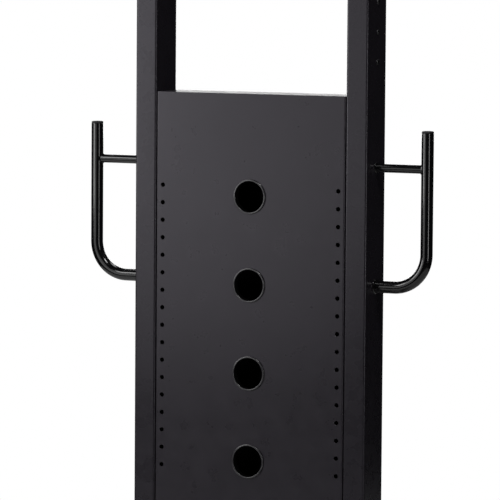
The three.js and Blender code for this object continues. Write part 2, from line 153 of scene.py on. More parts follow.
TYRE_DEPTH = 9 * MM
GROOVE_OFFSET = 4 * MM
HUB_RIM = 3 * MM
HUB_WEB = 2 * MM  # half its thickness
HUB_BOSS = 11 * MM
HUB_BORE = 5.2 * MM
HUB_RIBS = 6
RIB_HALF = 1.3 * MM
AXLE_RADIUS = 5 * MM
AXLE_HEX = 8 * MM  # radius to the corners of its head and nut
BRACKET_PLATE = 4 * MM
BRACKET_CUT = 13 * MM

BAR_RADIUS = 16 * MM
BAR_WALL = 2.5 * MM
BAR_BEND = 150 * MM
BAR_STRAIGHT = 330 * MM
BAR_DROP = math.radians(20)
BAR_END = 125 * MM
ARM_SECTION = (40 * MM, 60 * MM)
ARM_FLANGE = 6 * MM
ARM_BOLT_OFFSET = 42 * MM

GRIP_LENGTH = 112 * MM
GRIP_OFFSET = 62 * MM
GRIP_RADIUS = 19.5 * MM
GRIP_COLLAR = 6 * MM
GRIP_EDGE = 1 * MM
GRIP_RIB_PITCH = 4 * MM
# One rib, as (in from the grip's radius in millimetres, share of the pitch).
GRIP_RIB = ((0.9, 0.12), (0.9, 0.42), (0.2, 0.58), (0.2, 0.9))

FLOOR_RADIUS = 1.75
FLOOR_DEPTH = 12 * MM
FLOOR_EDGE = 2 * MM
FLOOR_GAP = 0.2 * MM  # the floor lies this far below the feet

# -------- camera, light and world

CAMERA_TARGET = Vector((-0.0204, -0.0004, 0.8215))
CAMERA_AZIMUTH = math.radians(24.54)
CAMERA_PITCH = math.radians(4.77)
CAMERA_ROLL = math.radians(0.418)
CAMERA_DISTANCE = 8.628
CAMERA_LENS = 288.6
CAMERA_SENSOR = 36.0

LIGHT_AIM = Vector((0.0, 0.0, 0.9))
# A tall soft key on the left with weak fills round it, a strip on the right, and lights for the back.
# Name, degrees round from the front, distance, height, (width, height) of the light, radiance.
LIGHTS = (
    ("key", -47, 2.2, 1.25, (0.8, 1.0), 4.7),
    ("key_top", -37, 2.2, 2.3, (0.9, 0.6), 6.0),
    ("front_left_fill", -28, 2.2, 1.25, (0.5, 1.0), 1.0),
    ("front_fill", -13, 2.2, 1.1, (0.5, 1.0), 0.9),
    ("low_left_fill", -30, 2.2, 0.58, (0.9, 0.5), 1.0),
    ("right_strip", 58, 2.6, 1.0, (0.3, 1.6), 5.0),
    ("high_right", 42, 1.5, 3.0, (0.8, 0.5), 12.0),
    ("backdrop_glow", 203, 2.8, 1.2, (1.4, 0.6), 4.0),
    ("rear_overhead", 180, 1.4, 3.4, (0.9, 1.6), 3.0),
    ("rear_left_high", 247, 2.4, 2.9, (1.2, 1.0), 7.0),
)

BACKDROP_COLOUR = (1.0, 1.0, 1.0, 1.0)
DIM_COLOUR = (0.9, 0.92, 1.0, 1.0)
DIM_STRENGTH = 0.008


def place_object(name, data):
    """An object in the scene, ready to be turned by a quaternion."""
    placed = bpy.data.objects.new(name, data)
    placed.rotation_mode = "QUATERNION"
    bpy.context.scene.collection.objects.link(placed)
    return placed


def make_camera():
    forward = Vector((
        -math.sin(CAMERA_AZIMUTH) * math.cos(CAMERA_PITCH),
        math.cos(CAMERA_AZIMUTH) * math.cos(CAMERA_PITCH),
        -math.sin(CAMERA_PITCH),
    ))
    data = bpy.data.cameras.new("camera")
    data.lens = CAMERA_LENS
    data.sensor_width = CAMERA_SENSOR
    camera = place_object("camera", data)
    camera.location = CAMERA_TARGET - forward * CAMERA_DISTANCE
    camera.rotation_quaternion = forward.to_track_quat("-Z", "Y") @ Quaternion(Z_AXIS, CAMERA_ROLL)
    bpy.context.scene.camera = camera


def make_lights():
    """Rectangular area lights that all aim at one point in the tower."""
    for name, azimuth, distance, height, size, radiance in LIGHTS:
        angle = math.radians(azimuth)
        data = bpy.data.lights.new(name, "AREA")
        data.shape = "RECTANGLE"
        data.size, data.size_y = size
        data.energy = radiance * math.pi * size[0] * size[1]
        light = place_object(name, data)
        light.location = (distance * math.sin(angle), -distance * math.cos(angle), height)
        light.rotation_quaternion = (LIGHT_AIM - light.location).to_track_quat("-Z", "Y")


def make_world():
    """White to the camera, as a studio backdrop, and dim to every other ray."""
    world = bpy.data.worlds.new("studio")
    world.use_nodes = True
    tree = world.node_tree
    tree.nodes.clear()
    light_path = tree.nodes.new("ShaderNodeLightPath")
    dim = tree.nodes.new("ShaderNodeBackground")
    dim.inputs["Color"].default_value = DIM_COLOUR
    dim.inputs["Strength"].default_value = DIM_STRENGTH
    white = tree.nodes.new("ShaderNodeBackground")
    white.inputs["Color"].default_value = BACKDROP_COLOUR
    mix = tree.nodes.new("ShaderNodeMixShader")
    output = tree.nodes.new("ShaderNodeOutputWorld")
    tree.links.new(light_path.outputs["Is Camera Ray"], mix.inputs["Fac"])
    tree.links.new(dim.outputs["Background"], mix.inputs[1])
    tree.links.new(white.outputs["Background"], mix.inputs[2])
    tree.links.new(mix.outputs["Shader"], output.inputs["Surface"])
    bpy.context.scene.world = world
    bpy.context.scene.view_settings.view_transform = "Standard"


# -------- materials


class Finish:
    """A Principled material whose colour, roughness and relief come from procedural nodes."""

    def __init__(self, name, **sockets):
        self.material = bpy.data.materials.new(name)
        self.material.use_nodes = True
        self.tree = self.material.node_tree
        self.shader = self.tree.nodes["Principled BSDF"]
        for socket, value in sockets.items():
            self.shader.inputs[socket.replace("_", " ")].default_value = value
        coordinates = self.node("TexCoord")
        self.place = coordinates.outputs["Object"]
        self.normal = coordinates.outputs["Normal"]

    def node(self, kind, **sockets):
        """A new node, with a value or another node's output for each input named."""
        made = self.tree.nodes.new(f"ShaderNode{kind}")
        for socket, value in sockets.items():
            self.feed(made.inputs[socket.replace("_", " ")], value)
        return made

    def feed(self, socket, value):
        """Links a socket to an output, or gives it a value."""
        if isinstance(value, bpy.types.NodeSocket):
            self.tree.links.new(value, socket)
        else:
            socket.default_value = value

    def noise(self, size, detail=3.0):
        """Noise from 0 to 1 whose features are about this size."""
        return self.node("TexNoise", Vector=self.place, Scale=1.0 / size, Detail=detail).outputs["Fac"]

    def cells(self, size):
        """Distance to the nearest of points that lie about this far apart."""
        return self.node("TexVoronoi", Vector=self.place, Scale=1.0 / size).outputs["Distance"]

    def remap(self, value, low, high, start=0.3, end=0.7):
        """From low to high while the value goes from start to end, as most of a noise does by default."""
        node = self.node("MapRange", Value=value, From_Min=start, From_Max=end, To_Min=low, To_Max=high)
        return node.outputs["Result"]

    def mix(self, factor, first, second):
        """A colour between two, each a colour or an output. A Mix node has them at sockets 6, 7 and 2."""
        node = self.node("Mix")
        node.data_type = "RGBA"
        self.feed(node.inputs["Factor"], factor)
        for socket, value in ((node.inputs[6], first), (node.inputs[7], second)):
            self.feed(socket, value if isinstance(value, bpy.types.NodeSocket) else (*value, 1.0))
        return node.outputs[2]

    def edges(self, radius):
        """About 1 along convex and concave edges sharper than this radius, and 0 on open faces."""
        bevel = self.node("Bevel", Radius=radius)
        bevel.samples = 6
        dot = self.node("VectorMath")
        dot.operation = "DOT_PRODUCT"
        self.feed(dot.inputs[0], bevel.outputs["Normal"])
        self.feed(dot.inputs[1], self.node("NewGeometry").outputs["Normal"])
        return self.remap(dot.outputs["Value"], 1.0, 0.0, 0.9, 0.995)

    def facing_front(self):
        """1 where the surface faces the front of the tower, 0 where it faces sideways."""
        split = self.node("SeparateXYZ", Vector=self.normal)
        return self.remap(split.outputs["Y"], 1.0, 0.0, -0.7, -0.2)

    def multiply(self, first, second):
        node = self.node("Math")
        node.operation = "MULTIPLY"
        self.feed(node.inputs[0], first)
        self.feed(node.inputs[1], second)
        return node.outputs["Value"]

    def relief(self, *layers):
        """Bumps laid over each other, each (height, depth in metres)."""
        below = {}
        for height, depth in layers:
            bump = self.node("Bump", Strength=1.0, Distance=depth, Height=height, **below)
            below = {"Normal": bump.outputs["Normal"]}
        self.set("Normal", below["Normal"])

    def set(self, socket, output):
        self.tree.links.new(output, self.shader.inputs[socket])


def powder_coat(name, tone, roughness, ior):
    """Satin powder coat: orange peel, slow drifts of tone and gloss, and edges painted brighter, partly as
    wear and partly as a painted highlight.
    """
    finish = Finish(name, IOR=ior, Specular_Tint=(0.945, 0.915, 1.0, 1.0))
    dark, light, worn = ([share * channel for channel in tone] for share in (0.9, 1.1, 1.9))
    drift = 0.03
    body = finish.mix(finish.remap(finish.noise(0.12), 0.0, 1.0), dark, light)
    # Convex and concave edges are painted brighter in patches: partly wear, partly a painted highlight.
    wear = finish.multiply(finish.edges(1.2 * MM), finish.remap(finish.noise(9 * MM), 0.15, 0.9))
    finish.set("Base Color", finish.mix(wear, body, worn))
    finish.set("Roughness", finish.remap(finish.noise(0.03), roughness - drift, roughness + drift))
    peel = (finish.noise(1.6 * MM, 2.0), 0.035 * MM)
    grain = (finish.noise(0.5 * MM, 1.0), 0.008 * MM)
    finish.relief(peel, grain)
    return finish.material


def gloss_black(name):
    """Thick gloss paint over tube: soft long waves from drawing the tube, and faint handling marks."""
    finish = Finish(name, IOR=1.5, Coat_Weight=0.35, Coat_Roughness=0.05)
    dark = (0.0035, 0.0035, 0.004)
    light = (0.0055, 0.0055, 0.006)
    worn = (0.03, 0.03, 0.032)
    wear = finish.multiply(finish.edges(0.8 * MM), finish.remap(finish.noise(6 * MM), 0.0, 0.8))
    finish.set("Base Color", finish.mix(wear, finish.mix(finish.noise(0.05), dark, light), worn))
    finish.set("Roughness", finish.remap(finish.noise(8 * MM, 5.0), 0.11, 0.17))
    waves = (finish.noise(14 * MM, 2.0), 0.03 * MM)
    grain = (finish.noise(1.2 * MM, 1.0), 0.003 * MM)
    finish.relief(waves, grain)
    return finish.material


def rim_black(name):
    """Moulded rim: semi-gloss on the flange, with painted shade down the bore: faces turned sideways are
    coloured near black.
    """
    finish = Finish(name, IOR=1.5, Coat_Weight=0.9, Coat_Roughness=0.08)
    # Painted shade: a near-black colour for faces turned sideways, down the bore and round the outer roll,
    # in place of the flange's tone.
    painted_bore_shade = (0.003, 0.003, 0.003)
    dark = (0.030, 0.028, 0.033)
    light = (0.044, 0.042, 0.047)
    flange = finish.mix(finish.noise(5 * MM), dark, light)
    finish.set("Base Color", finish.mix(finish.facing_front(), painted_bore_shade, flange))
    finish.set("Roughness", finish.remap(finish.noise(2.5 * MM), 0.28, 0.4))
    finish.relief((finish.noise(1.1 * MM, 2.0), 0.01 * MM))
    return finish.material


def black_steel(name):
    """Black oxide with oil: dark metal, mottled, bare where edges rub."""
    finish = Finish(name, Metallic=1.0)
    dark = (0.035, 0.035, 0.037)
    light = (0.075, 0.074, 0.076)
    bare = (0.22, 0.215, 0.21)
    wear = finish.multiply(finish.edges(0.6 * MM), finish.remap(finish.noise(2 * MM), 0.0, 1.0))
    finish.set("Base Color", finish.mix(wear, finish.mix(finish.noise(3 * MM), dark, light), bare))
    finish.set("Roughness", finish.remap(finish.noise(2 * MM), 0.3, 0.46))
    finish.relief((finish.noise(0.6 * MM, 2.0), 0.01 * MM))
    return finish.material


def zinc_steel(name):
    """Zinc plate: bright grey with a cool and a warm cast in patches."""
    finish = Finish(name, Metallic=1.0)
    cool = (0.47, 0.49, 0.52)
    warm = (0.58, 0.57, 0.52)
    finish.set("Base Color", finish.mix(finish.remap(finish.noise(7 * MM), 0.0, 1.0), cool, warm))
    finish.set("Roughness", finish.remap(finish.noise(1.5 * MM), 0.26, 0.42))
    finish.relief((finish.noise(0.8 * MM, 2.0), 0.012 * MM))
    return finish.material


def grained_plastic(name):
    """Moulded plastic with a fine leathery grain, paler where its edges have rubbed."""
    finish = Finish(name, IOR=1.46)
    dark = (0.011, 0.011, 0.012)
    light = (0.018, 0.018, 0.019)
    worn = (0.05, 0.05, 0.052)
    wear = finish.multiply(finish.edges(0.8 * MM), finish.noise(4 * MM))
    finish.set("Base Color", finish.mix(wear, finish.mix(finish.noise(15 * MM), dark, light), worn))
    finish.set("Roughness", finish.remap(finish.noise(4 * MM), 0.46, 0.6))
    grain = (finish.cells(0.55 * MM), 0.03 * MM)
    waves = (finish.noise(2.5 * MM), 0.02 * MM)
    finish.relief(grain, waves)
    return finish.material


def rubber(name, tone, pebble):
    """Matt rubber: dusty in patches, with a pebbled skin."""
    finish = Finish(name, IOR=1.5, Sheen_Weight=0.08, Sheen_Roughness=0.5)
    clean = [tone] * 3
    dusty = [1.9 * tone, 1.85 * tone, 1.75 * tone]
    dust = finish.remap(finish.noise(18 * MM, 5.0), 0.0, 1.0, 0.42, 0.75)
    finish.set("Base Color", finish.mix(dust, clean, dusty))
    finish.set("Roughness", finish.remap(finish.noise(6 * MM), 0.68, 0.88))
    skin = (finish.cells(pebble), 0.05 * MM)
    waves = (finish.noise(5 * MM), 0.04 * MM)
    finish.relief(skin, waves)
    return finish.material


def pale_floor(name):
    """A matt studio floor, faintly clouded."""
    finish = Finish(name, Roughness=0.7)
    finish.set("Base Color", finish.mix(finish.noise(0.6), [0.80] * 3, [0.84] * 3))
    finish.relief((finish.noise(4 * MM), 0.05 * MM))
    return finish.material


FINISHES = {
    "frame_coat": powder_coat("frame_coat", (0.018, 0.0155, 0.020), 0.28, 1.52),
    "panel_coat": powder_coat("panel_coat", (0.020, 0.0172, 0.022), 0.30, 1.56),
    "gloss_black": gloss_black("gloss_black"),
    "rim_black": rim_black("rim_black"),
    "black_steel": black_steel("black_steel"),
    "zinc_steel": zinc_steel("zinc_steel"),
    "black_plastic": grained_plastic("black_plastic"),
    "grip_rubber": rubber("grip_rubber", 0.014, 0.9 * MM),
    "foot_rubber": rubber("foot_rubber", 0.018, 1.4 * MM),
    "wheel_rubber": rubber("wheel_rubber", 0.034, 1.1 * MM),
}

# -------- outlines and shapes


def rounded_rectangle(width, height, corner):
    """Points of an outline round (0, 0), anticlockwise."""
    points = []
    for quarter, (x, y) in enumerate(((1, 1), (-1, 1), (-1, -1), (1, -1))):
        centre_x = x * (width / 2 - corner)
        centre_y = y * (height / 2 - corner)
        for step in range(CORNER_STEPS + 1):
            angle = (quarter + step / CORNER_STEPS) * math.pi / 2
            points.append((centre_x + corner * math.cos(angle), centre_y + corner * math.sin(angle)))
    return points


def circle(radius, sides=ROUND_SIDES):
    angles = [2 * math.pi * i / sides for i in range(sides)]
    return [(radius * math.cos(angle), radius * math.sin(angle)) for angle in angles]


def hexagon(radius):
    """A hexagon with as many points as a circle, so that the two can be lofted; radius to its corners."""
    points = []
    for i in range(ROUND_SIDES):
        angle = 2 * math.pi * i / ROUND_SIDES
        reach = radius * math.cos(math.pi / 6) / math.cos(angle % (math.pi / 3) - math.pi / 6)
        points.append((reach * math.cos(angle), reach * math.sin(angle)))
    return points


def basis(axis):
    """Two directions across an axis, so that (first, second, axis) is right-handed."""
    axis = Vector(axis).normalized()
    if abs(axis.z) > 0.9:
        first = X_AXIS
    else:
        first = Z_AXIS.cross(axis).normalized()
    second = axis.cross(first).normalized()
    return first, second, axis


class Shape:
    """Vertices and faces of one piece, gathered part by part. Each part is a closed body."""

    def __init__(self):
        self.vertices = []
        self.faces = []

    def skin(self, rings, loop=False, closed=True):
        """Quads between neighbouring rings of points. Returns the number of the first point."""
        base = len(self.vertices)
        count = len(rings[0])
        for ring in rings:
            self.vertices.extend(ring)
        for i in range(len(rings) if loop else len(rings) - 1):
            here = base + i * count
            there = base + (i + 1) % len(rings) * count
            for j in range(count if closed else count - 1):
                k = (j + 1) % count
                self.faces.append((here + j, here + k, there + k, there + j))
        return base

    def face(self, points):
        base = len(self.vertices)
        self.vertices.extend(points)
        self.faces.append(tuple(range(base, base + len(points))))

    def loft(self, rings, loop=False):
        """A skin over rings of points, joined back to the first ring or closed by a face at each end."""
        base = self.skin(rings, loop)
        if not loop:
            count = len(rings[0])
            last = base + (len(rings) - 1) * count
            self.faces.append(tuple(reversed(range(base, base + count))))
            self.faces.append(tuple(range(last, last + count)))
        return self

    def stack(self, origin, axis, layers, loop=False):
        """Outlines stacked along an axis, each layer (outline, distance)."""
        first, second, along = basis(axis)
        origin = Vector(origin)
        rings = [
            [origin + first * x + second * y + along * distance for x, y in outline]
            for outline, distance in layers
        ]
        return self.loft(rings, loop)

    def lathe(self, origin, axis, profile, loop=False, sides=ROUND_SIDES):
        """A turned body, from (radius, distance) pairs along the axis."""
        return self.stack(origin, axis, [(circle(r, sides), d) for r, d in profile], loop)

    def prism(self, outline, start, end):
        """A body between an outline of 3-D points moved to start and the same moved to end."""
        near = [Vector(point) + Vector(start) for point in outline]
        far = [Vector(point) + Vector(end) for point in outline]
        return self.loft([near, far])

    def sweep(self, stations, outer, wall):
        """A round tube in an XZ plane along (point, direction) stations, with softened ends."""
        rings = []
        first_point, first_direction = stations[0]
        last_point, last_direction = stations[-1]
        path = [
            (first_point, first_direction, outer - EDGE),
            (first_point + first_direction * EDGE, first_direction, outer),
            *((point, direction, outer) for point, direction in stations[1:-1]),
            (last_point - last_direction * EDGE, last_direction, outer),
            (last_point, last_direction, outer - EDGE),
        ]
        path += [(point, direction, outer - wall) for point, direction in reversed(stations)]
        for point, direction, radius in path:
            across = Y_AXIS.cross(direction)
            rings.append([point + across * x + Y_AXIS * y for x, y in circle(radius, FINE_SIDES)])
        return self.loft(rings, loop=True)

    def bead(self, path, normal, radius):
        """A weld bead along a closed path: quick ripples from the puddle, and a slow drift in width."""
        rings = []
        for i, point in enumerate(path):
            tangent = (path[(i + 1) % len(path)] - path[i - 1]).normalized()
            side = tangent.cross(normal).normalized()
            width = radius * (1 + 0.13 * math.sin(i * 1.9) + 0.06 * math.sin(i * 0.37))
            rings.append([point + side * x + normal * y for x, y in circle(width, BEAD_SIDES)])
        return self.loft(rings, loop=True)


def moulded(edge, section):
    """A section in millimetres from this edge, as (radius, distance) pairs in metres."""
    return [(edge - inset * MM, distance * MM) for inset, distance in section]


def even_path(points, spacing):
    """The same closed path with points at about even spacing."""
    lengths = [(points[(i + 1) % len(points)] - point).length for i, point in enumerate(points)]
    total = sum(lengths)
    count = round(total / spacing)
    path = []
    index = 0
    passed = 0.0
    for step in range(count):
        wanted = total * step / count
        while passed + lengths[index] < wanted:
            passed += lengths[index]
            index += 1
        share = (wanted - passed) / lengths[index]
        path.append(points[index].lerp(points[(index + 1) % len(points)], share))
    return path


def mesh_object(name, shape, material):
    """An object with a shape's vertices and faces."""
    mesh = bpy.data.meshes.new(name)
    mesh.from_pydata([tuple(point) for point in shape.vertices], [], shape.faces)
    mesh.materials.append(material)
    return place_object(name, mesh)


def add_piece(name, shape, slot, nodes=(), body="frame", bevel=0.0, sharp=SHARP):
    """Makes the piece, gives it its finish, and lets it ride on a body in place of its CAD nodes."""
    piece = mesh_object(name, shape, FINISHES[slot])
    mesh = piece.data
    work = bmesh.new()
    work.from_mesh(mesh)
    bmesh.ops.remove_doubles(work, verts=work.verts, dist=MERGE_DISTANCE)
    bmesh.ops.recalc_face_normals(work, faces=work.faces)
    work.to_mesh(mesh)
    work.free()
    mesh.polygons.foreach_set("use_smooth", [True] * len(mesh.polygons))
    mesh.set_sharp_from_angle(angle=math.radians(sharp))
    if bevel:
        modifier = piece.modifiers.new("soft_edges", "BEVEL")
        modifier.width = bevel
        modifier.segments = 2
        modifier.limit_method = "ANGLE"
        modifier.angle_limit = math.radians(40)
    weighted = piece.modifiers.new("flat_faces_stay_flat", "WEIGHTED_NORMAL")
    weighted.keep_sharp = True
    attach(piece, body)
    if nodes:
        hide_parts(*nodes)


# -------- rectangular tubes, plates and caps


def middle_of(node):
    low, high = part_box(node)
    return (low + high) / 2


def section_of(node, axis):
    """Width and height of a node's box across an axis, in the order that basis() gives."""
    low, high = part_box(node)
    size = high - low
    first, second, _ = basis(AXES[axis])
    return abs(first.dot(size)), abs(second.dot(size))


def tube_outline(section, inset):
    """The outline of a tube of this section, drawn so far inside it."""
    width, height = section
    corner = max(TUBE_CORNER - inset, LEAST_CORNER)
    return rounded_rectangle(width - 2 * inset, height - 2 * inset, corner)


def rectangular_tube(node, axis):
    low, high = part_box(node)
    length = high[axis] - low[axis]
    origin = middle_of(node)
    origin[axis] = low[axis]
    outer, eased, inner = (tube_outline(section_of(node, axis), inset) for inset in (0, EDGE, TUBE_WALL))
    near_end = [(inner, 0), (eased, 0), (outer, EDGE)]
    far_end = [(outline, length - distance) for outline, distance in reversed(near_end)]
    shape = Shape().stack(origin, AXES[axis], near_end + far_end, loop=True)
    add_piece(f"{node}.tube", shape, "frame_coat", [node])


def flat_plate(centre, axis, width, height, corner, thickness):
    """A plate with rounded corners and eased edges, from the centre of its near face along an axis."""
    outer = rounded_rectangle(width, height, corner)
    eased = rounded_rectangle(width - 2 * EDGE, height - 2 * EDGE, corner - EDGE / 2)
    layers = [(eased, 0), (outer, EDGE), (outer, thickness - EDGE), (eased, thickness)]
    return Shape().stack(centre, axis, layers)


def tube_cap(node, axis, sign):
    """A plastic cap: a plug in the tube, a plate over its end, and a shallow dish with a soft rim."""
    low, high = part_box(node)
    section = section_of(node, axis)
    origin = middle_of(node)
    outside = high[axis] if sign > 0 else low[axis]
    origin[axis] = outside - sign * CAP_PLATE
    layers = [(tube_outline(section, inset * MM), distance * MM) for inset, distance in TUBE_CAP]
    shape = Shape().stack(origin, AXES[axis] * sign, layers)
    add_piece(f"{node}.cap", shape, "black_plastic", [node], sharp=MOULDED_SHARP)


def socket_screw(shape, origin, axis, size):
    """The head of a button screw with a hexagon socket, standing on origin; size is (radius, height)."""
    radius, height = size
    shank = circle(radius * 0.55)
    dome = ((0.97, 0.0), (1.0, 0.05), (1.0, 0.25), (0.93, 0.55), (0.78, 0.82), (0.6, 0.96), (0.5, 1.0))
    shape.stack(origin, axis, [
        (shank, -SCREW_SHANK),
        (shank, 0),
        *((circle(radius * share), height * rise) for share, rise in dome),
        (hexagon(radius * 0.42), height * 0.97),
        (hexagon(radius * 0.4), height * 0.35),
    ])


def hex_bolt(shape, origin, axis):
    """A washer and a hexagon head on it, standing on origin."""
    across, height = BOLT
    washer_edge = 0.3 * MM
    shape.lathe(origin, axis, [
        (across * 0.95, 0),
        (across, 0.2 * MM),
        (across, WASHER - washer_edge),
        (across * 0.96, WASHER),
    ])
    seat = circle(across * 0.49)
    head = hexagon(across / 2 / math.cos(math.pi / 6))
    shape.stack(origin, axis, [
        (seat, WASHER - 0.1 * MM),
        (seat, WASHER + 0.3 * MM),
        (head, WASHER + 0.5 * MM),
        (head, WASHER + 0.84 * height),
        (seat, WASHER + height),
        (circle(across * 0.36), WASHER + height),
        (circle(across * 0.33), WASHER + 0.93 * height),
    ])


def rectangle_bead(shape, centre, axis, width, height, corner=TUBE_CORNER):
    first, second, along = basis(axis)
    outline = rounded_rectangle(width + WELD, height + WELD, corner)
    points = [Vector(centre) + first * x + second * y for x, y in outline]
    shape.bead(even_path(points, WELD_STEP), along, WELD)


def end_beads(shape, node, axis):
    """A bead round each end of a rectangular tube."""
    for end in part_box(node):
        centre = middle_of(node)
        centre[axis] = end[axis]
        rectangle_bead(shape, centre, AXES[axis], *section_of(node, axis))


def circle_bead(shape, centre, ring_radius, radius=WELD):
    """A bead round a tube that runs along X."""
    guide_sides = 72
    points = [Vector(centre) + Vector((0, y, z)) for y, z in circle(ring_radius + radius / 2, guide_sides)]
    shape.bead(even_path(points, ROUND_WELD_STEP), X_AXIS, radius)


# -------- uprights


def make_uprights():
    for side, sign in SIDES:
        rectangular_tube(f"{side}_upright", 2)
        rectangular_tube(f"{side}_upright_extension", 2)
        tube_cap(f"{side}_upright_cap", 2, 1)
        low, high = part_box(f"{side}_upright")
        face = high.x if sign > 0 else low.x
        for i in range(SPLICE_SCREWS):
            node = f"{side}_splice_screw_{i + 1}"
            centre = middle_of(node)
            head = Shape()
            socket_screw(head, (face, centre.y, centre.z), X_AXIS * sign, SPLICE_HEAD)
            add_piece(f"{node}.head", head, "black_steel", [node])


# -------- panel box


def hole_heights(middle):
    return [middle + (i - (HOLE_COUNT - 1) / 2) * HOLE_PITCH for i in range(HOLE_COUNT)]


def port_heights():
    return [middle_of(f"port_rim_{i + 1}").z for i in range(PORT_COUNT)]


def perforated_sheet(shape, half, low_z, high_z, front, holes):
    """The flat of the front sheet: two faces with holes, and hole walls with eased rims."""
    outline = [(-half, low_z), (half, low_z), (half, high_z), (-half, high_z)]
    for reach, depth in ((HOLE_EDGE, 0.0), (0.0, SHEET)):
        points = [Vector(point) for point in outline]
        loops = [list(range(len(outline)))]
        for x, z, radius, sides in holes:
            loops.append(list(range(len(points), len(points) + sides)))
            points.extend(Vector((x + px, z + pz)) for px, pz in circle(radius + reach, sides))
        edges = [(loop[i - 1], loop[i]) for loop in loops for i in range(len(loop))]
        points, _, faces = delaunay_2d_cdt(points, edges, [], 0, MERGE_DISTANCE)[:3]
        base = len(shape.vertices)
        shape.vertices.extend((point.x, front + depth, point.y) for point in points)
        for face in faces:
            centre = sum((points[i] for i in face), Vector((0, 0))) / len(face)
            if all(
                (centre - Vector((x, z))).length > (radius + reach) * math.cos(math.pi / sides)
                for x, z, radius, sides in holes
            ):
                shape.faces.append(tuple(base + i for i in face))
    for x, z, radius, sides in holes:
        shape.skin([
            [(x + px, front + depth, z + pz) for px, pz in circle(radius + reach, sides)]
            for reach, depth in ((HOLE_EDGE, 0.0), (0.0, HOLE_EDGE), (0.0, SHEET))
        ])


def folded_edge(half, depth, flat):
    """Section of the right edge of a folded sheet as (x, y): a strip of flat, the bend and the return."""
    turns = [i / FOLD_STEPS * math.pi / 2 for i in range(FOLD_STEPS + 1)]
    centre_x = half - SHEET_BEND

    def bend(radius, angles):
        return [(centre_x + radius * math.sin(a), SHEET_BEND - radius * math.cos(a)) for a in angles]

    return [
        (centre_x - flat, 0.0),
        *bend(SHEET_BEND, turns),
        (half, depth),
        (half - SHEET, depth),
        *bend(SHEET_BEND - SHEET, reversed(turns)),
        (centre_x - flat, SHEET),
    ]


def make_front_panel():
    low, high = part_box("front_panel")
    middle = (low.z + high.z) / 2
    half = (high.x - low.x) / 2
    flat_half = half - SHEET_BEND - SHEET_STRIP
    holes = [(0.0, z, PORT_RADIUS, PORT_SIDES) for z in port_heights()]
    for sign in (-1, 1):
        holes += [(sign * HOLE_COLUMN_X, z, HOLE_RADIUS, SMALL_SIDES) for z in hole_heights(middle)]
    shape = Shape()
    perforated_sheet(shape, flat_half, low.z, high.z, low.y, holes)
    section = folded_edge(half, high.y - low.y, SHEET_STRIP)
    for sign in (-1, 1):
        ends = [[(sign * x, low.y + y, z) for x, y in section] for z in (low.z, high.z)]
        shape.skin(ends, closed=False)
        for end in ends:
            shape.face(end)
    for z in (low.z, high.z):
        shape.face([
            (-flat_half, low.y, z),
            (flat_half, low.y, z),
            (flat_half, low.y + SHEET, z),
            (-flat_half, low.y + SHEET, z),
        ])
    add_piece("front_panel.sheet", shape, "panel_coat", ["front_panel"], sharp=12)


def make_rear_panel():
    low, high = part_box("rear_panel")
    half = (high.x - low.x) / 2
    section = folded_edge(half, high.y - low.y, half - SHEET_BEND)
    right = [(x, high.y - y) for x, y in section[1:-1]]
    left = [(-x, y) for x, y in reversed(right)]
    shape = Shape().loft([[(x, y, z) for x, y in right + left] for z in (low.z, high.z)])
    add_piece("rear_panel.sheet", shape, "panel_coat", ["rear_panel"])
    screws = Shape()
    spacing = (high.z - low.z - 2 * PANEL_SCREW_MARGIN) / (PANEL_SCREW_ROWS - 1)
    for sign in (-1, 1):
        for i in range(PANEL_SCREW_ROWS):
            place = (sign * (half - PANEL_SCREW_INSET), high.y, low.z + PANEL_SCREW_MARGIN + i * spacing)
            socket_screw(screws, place, Y_AXIS, PANEL_HEAD)
    add_piece("rear_panel.screws", screws, "black_steel")


def make_panel():
    make_front_panel()
    make_rear_panel()
    for node in ("panel_lid", "panel_floor"):
        low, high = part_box(node)
        size = high - low
        centre = middle_of(node)
        shape = flat_plate((centre.x, centre.y, low.z), Z_AXIS, size.x, size.y, SHEET_CORNER, size.z)
        add_piece(f"{node}.plate", shape, "panel_coat", [node])
    for i in range(PORT_COUNT):
        make_port_rim(f"port_rim_{i + 1}")
    for side, _ in SIDES:
        show_cad_node(f"{side}_hole_strip", "black_steel")
        show_cad_node(f"{side}_splice_sleeve", "zinc_steel")


def show_cad_node(node, slot):
    """Keeps a CAD node's own shape in view, in the finish of its slot."""
    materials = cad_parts[node].data.materials
    materials.clear()
    materials.append(FINISHES[slot])


def make_port_rim(node):
    """A grommet: a rolled flange in front of the sheet and a sleeve through it."""
    low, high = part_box(node)
    centre = middle_of(node)
    length = high.y - low.y
    shape = Shape().lathe((centre.x, low.y, centre.z), Y_AXIS, [
        (RIM_INNER, length),
        *moulded(RIM_INNER, RIM_LIP),
        *moulded(RIM_OUTER, RIM_ROLL),
        (RIM_OUTER, RIM_FLANGE),
        (RIM_SLEEVE, RIM_FLANGE),
        (RIM_SLEEVE, length),
    ], loop=True, sides=PORT_SIDES)
    add_piece(f"{node}.grommet", shape, "rim_black", [node], sharp=MOULDED_SHARP)


# -------- side handles


def arc(centre, radius, start, end, steps):
    """Stations of an arc in the XZ plane, as (point, direction)."""
    turn = math.copysign(math.pi / 2, end - start)
    stations = []
    for i in range(steps + 1):
        angle = start + (end - start) * i / steps
        point = centre + radius * Vector((math.cos(angle), 0, math.sin(angle)))
        stations.append((point, Vector((math.cos(angle + turn), 0, math.sin(angle + turn)))))
    return stations


def against_tube(tube_x, sign, radius, y):
    """Where a line along X at this y meets a cylinder of this radius round the handle's upright run."""
    return tube_x - sign * math.sqrt(radius ** 2 - y ** 2)


